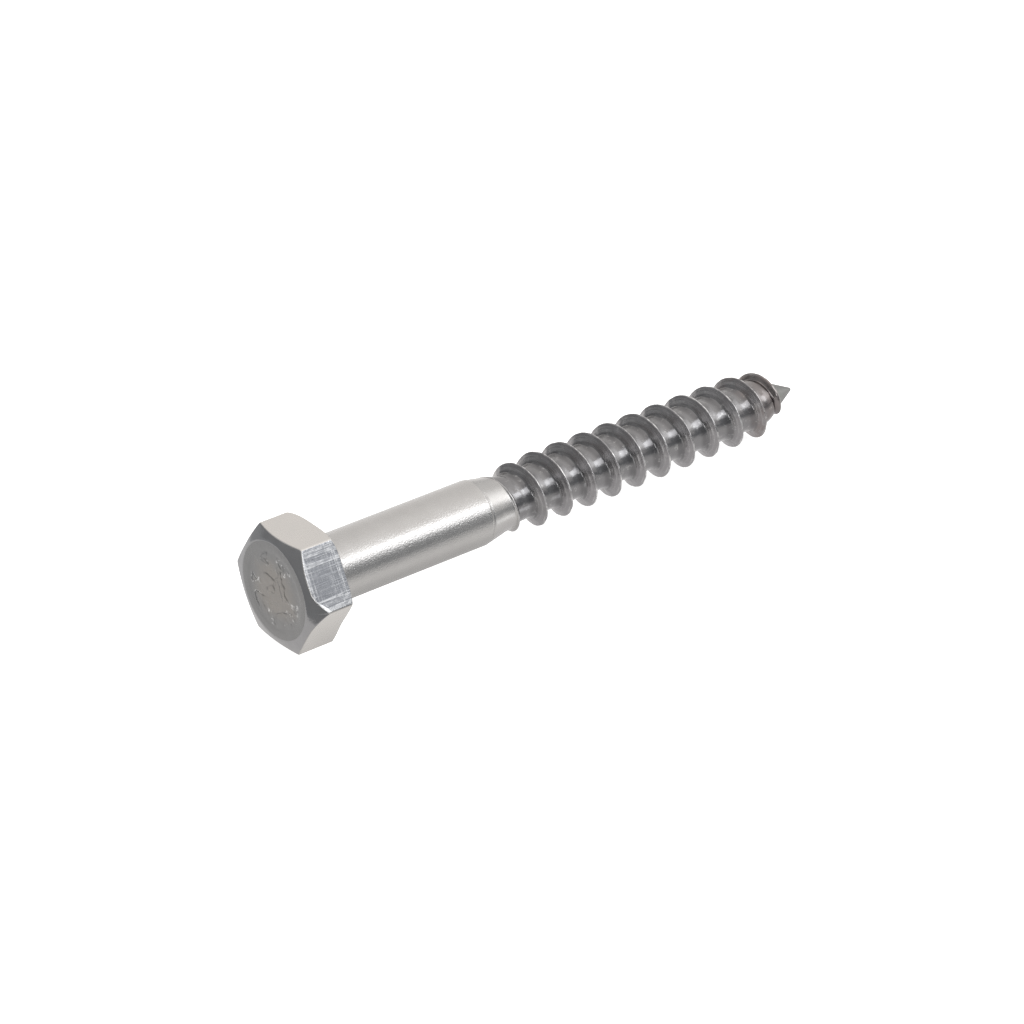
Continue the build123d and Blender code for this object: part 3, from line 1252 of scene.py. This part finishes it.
@dataclass(frozen=True)
class FloorSheet:
    """Floor: a pale sheet, faintly lit from below.

    What the steel sees of it is a painted reflection: painted shadow under and beside the screw,
    brighter round it, dimmer further off and in front, and a painted bright spot beside the thread.
    The spans are in metres, as the floor lies.
    """
    sheet: Colour = (0.78, 0.78, 0.78)
    glow: float = 0.8
    # painted shadow under the screw, in the reflection that the steel sees
    shadow_under_shank: Colour = (0.66, 0.65, 0.64)
    shadow_under_thread: Colour = (0.95, 0.93, 0.93)
    thread_from: Span = (0.020, 0.032)
    screw_ends: Span = (-0.001, 0.069)
    # painted lit floor round that shadow, in the reflection
    around: Colour = (1.20, 1.18, 1.16)
    around_from: Span = (0.0, 0.010)
    # painted shade before the head, in the reflection
    before_head: Colour = (0.76, 0.75, 0.745)
    before_head_from: Span = (0.003, 0.007)
    # painted shade beside the head, in the reflection
    beside_head: Colour = (0.74, 0.735, 0.735)
    beside_head_from: Span = (0.005, 0.010)
    head_edge: Span = (-0.001, 0.001)
    # painted shade further from the screw, in the reflection
    dim: Colour = (0.42, 0.43, 0.44)
    dim_near: Span = (0.006, 0.034)
    dim_far: Span = (0.034, 0.050)
    dim_end: Span = (-0.012, 0.0)
    # painted dark floor in front, in the reflection
    front: Colour = (0.315, 0.32, 0.325)
    front_from: Span = (0.0143, 0.0151)
    patch: Colour = (1.9, 1.9, 1.9)     # painted bright spot in the reflection, beside the thread
    patch_centre: Span = (0.0338, -0.0102)
    patch_edge: Span = (0.0015, 0.0040)

    def make(self) -> bpy.types.Material:
        """Makes the material.

        Returns:
            The material.
        """
        material = bpy.data.materials.new("floor_sheet")
        material.use_nodes = True
        s = Sheet(material.node_tree)
        x, y, _ = s.parts(s.coordinates("Object"))
        before, after = self.screw_ends
        beyond = s.maths("MAXIMUM", s.maths("MAXIMUM", before - x, x - after), 0.0)
        away = s.length(beyond, y)
        # painted reflection, seen only by the steel: shadow under the screw, lit floor round it
        under = s.blend(s.ease(x, *self.thread_from), self.shadow_under_shank, self.shadow_under_thread)
        painted_reflection = s.blend(s.ease(away, *self.around_from), under, self.around)
        # painted shade before and beside the head
        painted_reflection = s.blend(s.ease(x * -1.0, *self.before_head_from), painted_reflection, self.before_head)
        beside = s.ease(y, *self.beside_head_from) * s.ease(x * -1.0, *self.head_edge)
        painted_reflection = s.blend(beside, painted_reflection, self.beside_head)
        # painted shade further off and in front of the screw
        painted_reflection = s.blend(s.ease(y * -1.0, *self.dim_near), painted_reflection, self.dim)
        far = s.ease(y, *self.dim_far) * (1.0 - s.ease(x, *self.dim_end))
        painted_reflection = s.blend(far, painted_reflection, self.dim)
        ahead = x * FRONT[0] + y * FRONT[1]
        painted_reflection = s.blend(s.ease(ahead, *self.front_from), painted_reflection, self.front)
        # painted bright spot in the reflection, which lights the neck's second highlight
        dx, dy = x - self.patch_centre[0], y - self.patch_centre[1]
        patch = 1.0 - s.ease(s.length(dx, dy), *self.patch_edge)
        painted_reflection = s.blend(patch, painted_reflection, self.patch)
        sheet = s.node("ShaderNodeBsdfPrincipled", {}, {
            "Base Color": self.sheet, "Roughness": 0.9, "Specular IOR Level": 0.0,
            "Emission Color": (1.0, 1.0, 1.0), "Emission Strength": self.glow})
        # the steel sees the painted reflection, the camera sees the glowing sheet
        mirrored = s.node("ShaderNodeEmission", {}, {"Color": painted_reflection, "Strength": 1.0})
        mixed = s.node("ShaderNodeMixShader", {}, {
            0: s.ray("Is Glossy Ray"), 1: sheet.outputs[0], 2: mirrored.outputs[0]})
        s.node("ShaderNodeOutputMaterial", {}, {"Surface": mixed.outputs[0]})
        return material


@dataclass(frozen=True)
class Surround:
    """Light from all round: pale behind and above, dark low in front, and one soft box.

    The spans are parts of a direction of length 1, and the leans are degrees from straight up
    towards -Y.
    """
    pale_front: Colour = (1.45, 1.415, 1.38)
    pale_back: Colour = (1.20, 1.17, 1.14)
    aside_front: Colour = (1.12, 1.10, 1.08)    # past the point's end of the screw
    aside_back: Colour = (0.50, 0.50, 0.51)
    aside_from: Span = (0.64, 0.72)
    dark_head: Colour = (0.345, 0.35, 0.355)
    dark_point: Colour = (0.46, 0.47, 0.48)
    dark_to: Span = (0.36, 0.52)                # upwards
    overhead: Colour = (0.64, 0.64, 0.645)
    box: Colour = (4.0, 4.02, 4.06)
    box_lean: tuple[Span, Span] = ((35, 41), (53, 73))
    spill: Colour = (2.5, 2.48, 2.46)
    spill_lean: tuple[Span, Span] = ((-25, 40), (46, 72))
    glint: Colour = (4.5, 4.5, 4.5)
    glint_towards: Point = (-0.41, -0.905, 0.10)
    glint_edge: Span = (0.972, 0.988)
    backdrop: Colour = (1.2, 1.2, 1.2)          # as it is seen itself

    def make(self) -> bpy.types.World:
        """Makes the world.

        Returns:
            The world.
        """
        world = bpy.data.worlds.new("surround")
        bpy.context.scene.world = world
        world.use_nodes = True
        s = Sheet(world.node_tree)
        x, y, z = s.parts(s.coordinates("Generated"))
        level = s.maths("MAXIMUM", s.length(x, y), 0.001)
        towards = s.maths("DIVIDE", x * FRONT[0] + y * FRONT[1], level)
        dark = s.maths("MAXIMUM", s.ease(towards, -0.40, -0.10), s.ease(x * -1.0, 0.05, 0.25))
        dark = dark * (1.0 - s.ease(z, *self.dark_to))
        aside = s.ease(x, *self.aside_from)
        pale = s.blend(s.ease(y, -0.1, 0.75), self.pale_front, self.pale_back)
        behind = s.ease(y, 0.0, 0.2) * (1.0 - s.ease(z, 0.10, 0.40))
        pale = s.blend(aside, pale, s.blend(behind, self.aside_front, self.aside_back))
        shade = s.blend(s.ease(x, -0.2, 0.3), self.dark_head, self.dark_point)
        colour = s.blend(dark * (1.0 - 0.5 * aside), pale, shade)
        overhead = (1.0 - s.ease(x, 0.10, 0.38)) * (1.0 - s.ease(z, 0.80, 0.95))
        overhead = overhead * s.ease(z, 0.30, 0.50)
        colour = s.blend(overhead, colour, self.overhead)
        lean = s.maths("ARCTAN2", y * -1.0, z)
        box = s.lean(lean, *self.box_lean) * s.ease(x, 0.0, 0.2) * (1.0 - aside)
        colour = s.blend(box, colour, self.box)
        spill = s.lean(lean, *self.spill_lean)
        colour = s.blend(spill * aside, colour, self.spill)
        east, north, up = self.glint_towards
        glint = s.ease(x * east + y * north + z * up, *self.glint_edge)
        colour = s.blend(glint, colour, self.glint)
        colour = s.blend(s.ray("Is Camera Ray"), colour, self.backdrop)
        ground = s.node("ShaderNodeBackground", {}, {"Color": colour, "Strength": 1.0})
        s.node("ShaderNodeOutputWorld", {}, {"Surface": ground.outputs[0]})
        return world


@dataclass
class Studio:
    """Camera and floor, with the camera's place in millimetres about the screw."""
    middle: float = 35.0                # of the screw, along its axis
    distance: float = 464.6
    azimuth: float = math.radians(-40.0)
    elevation: float = math.radians(29.73)
    roll: float = math.radians(1.215)
    aim_right: float = 5.854            # the screw's middle stands right of and above the frame's
    aim_up: float = 3.906
    lens: float = 144.95
    sensor: float = 36.0
    clip: Span = (0.01, 50.0)           # in metres
    floor_radius: float = 3.0           # in metres

    def set_camera(self) -> None:
        """Sets the camera up at its place beside the screw's head."""
        back = Vector((math.sin(self.azimuth) * math.cos(self.elevation),
                       -math.cos(self.azimuth) * math.cos(self.elevation),
                       math.sin(self.elevation)))
        level = Vector((math.cos(self.azimuth), math.sin(self.azimuth), 0))
        right = Matrix.Rotation(self.roll, 3, back) @ level
        above = back.cross(right)
        stand = Vector((self.middle, 0, 0)) + self.distance * back
        aim = Vector((self.middle, 0, 0)) - self.aim_right * right - self.aim_up * above
        back = (stand - aim).normalized()
        right = above.cross(back).normalized()
        above = back.cross(right)
        turn = Matrix((right, above, back)).transposed().to_4x4()
        data = bpy.data.cameras.new("camera")
        data.lens, data.sensor_width = self.lens, self.sensor
        data.clip_start, data.clip_end = self.clip
        camera = bpy.data.objects.new("camera", data)
        bpy.context.scene.collection.objects.link(camera)
        camera.matrix_world = (Matrix.Translation(TO_ROW @ stand)
                               @ Matrix.Rotation(DIP, 4, "Y") @ turn)
        bpy.context.scene.camera = camera

    def lay_floor(self, height: float) -> None:
        """Lays the floor under the screw.

        Args:
            height: of the floor, in metres.
        """
        bpy.ops.object.select_all(action="DESELECT")
        bpy.ops.mesh.primitive_circle_add(vertices=96, radius=self.floor_radius,
                                          fill_type="NGON", location=(0, 0, height))
        floor = bpy.context.object
        floor.name = "floor"
        floor.data.materials.append(FloorSheet().make())


def lay_down(piece: bpy.types.Object) -> None:
    """Lays a finished piece into the row frame and hands it over as the CAD screw's looks.

    Args:
        piece: the dressed mesh object, in millimetres.
    """
    piece.data.transform(TO_ROW)
    piece.data.update()
    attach(piece, "root")
    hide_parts("lag_screw")
    LOG.info("%s: %d faces", piece.name, len(piece.data.polygons))


def main() -> None:
    """Builds the screw and the studio, in order."""
    logging.basicConfig(level=logging.INFO, format="%(name)s %(message)s")
    bpy.context.scene.view_settings.view_transform = "Standard"
    studio = Studio()
    studio.set_camera()
    for part in (Shaft(), Head()):
        piece = part.build()
        part.dress(piece)
        lay_down(piece)
    studio.lay_floor(CAD_BOX[0][2])
    Surround().make()


if __name__ == "__main__":
    main()
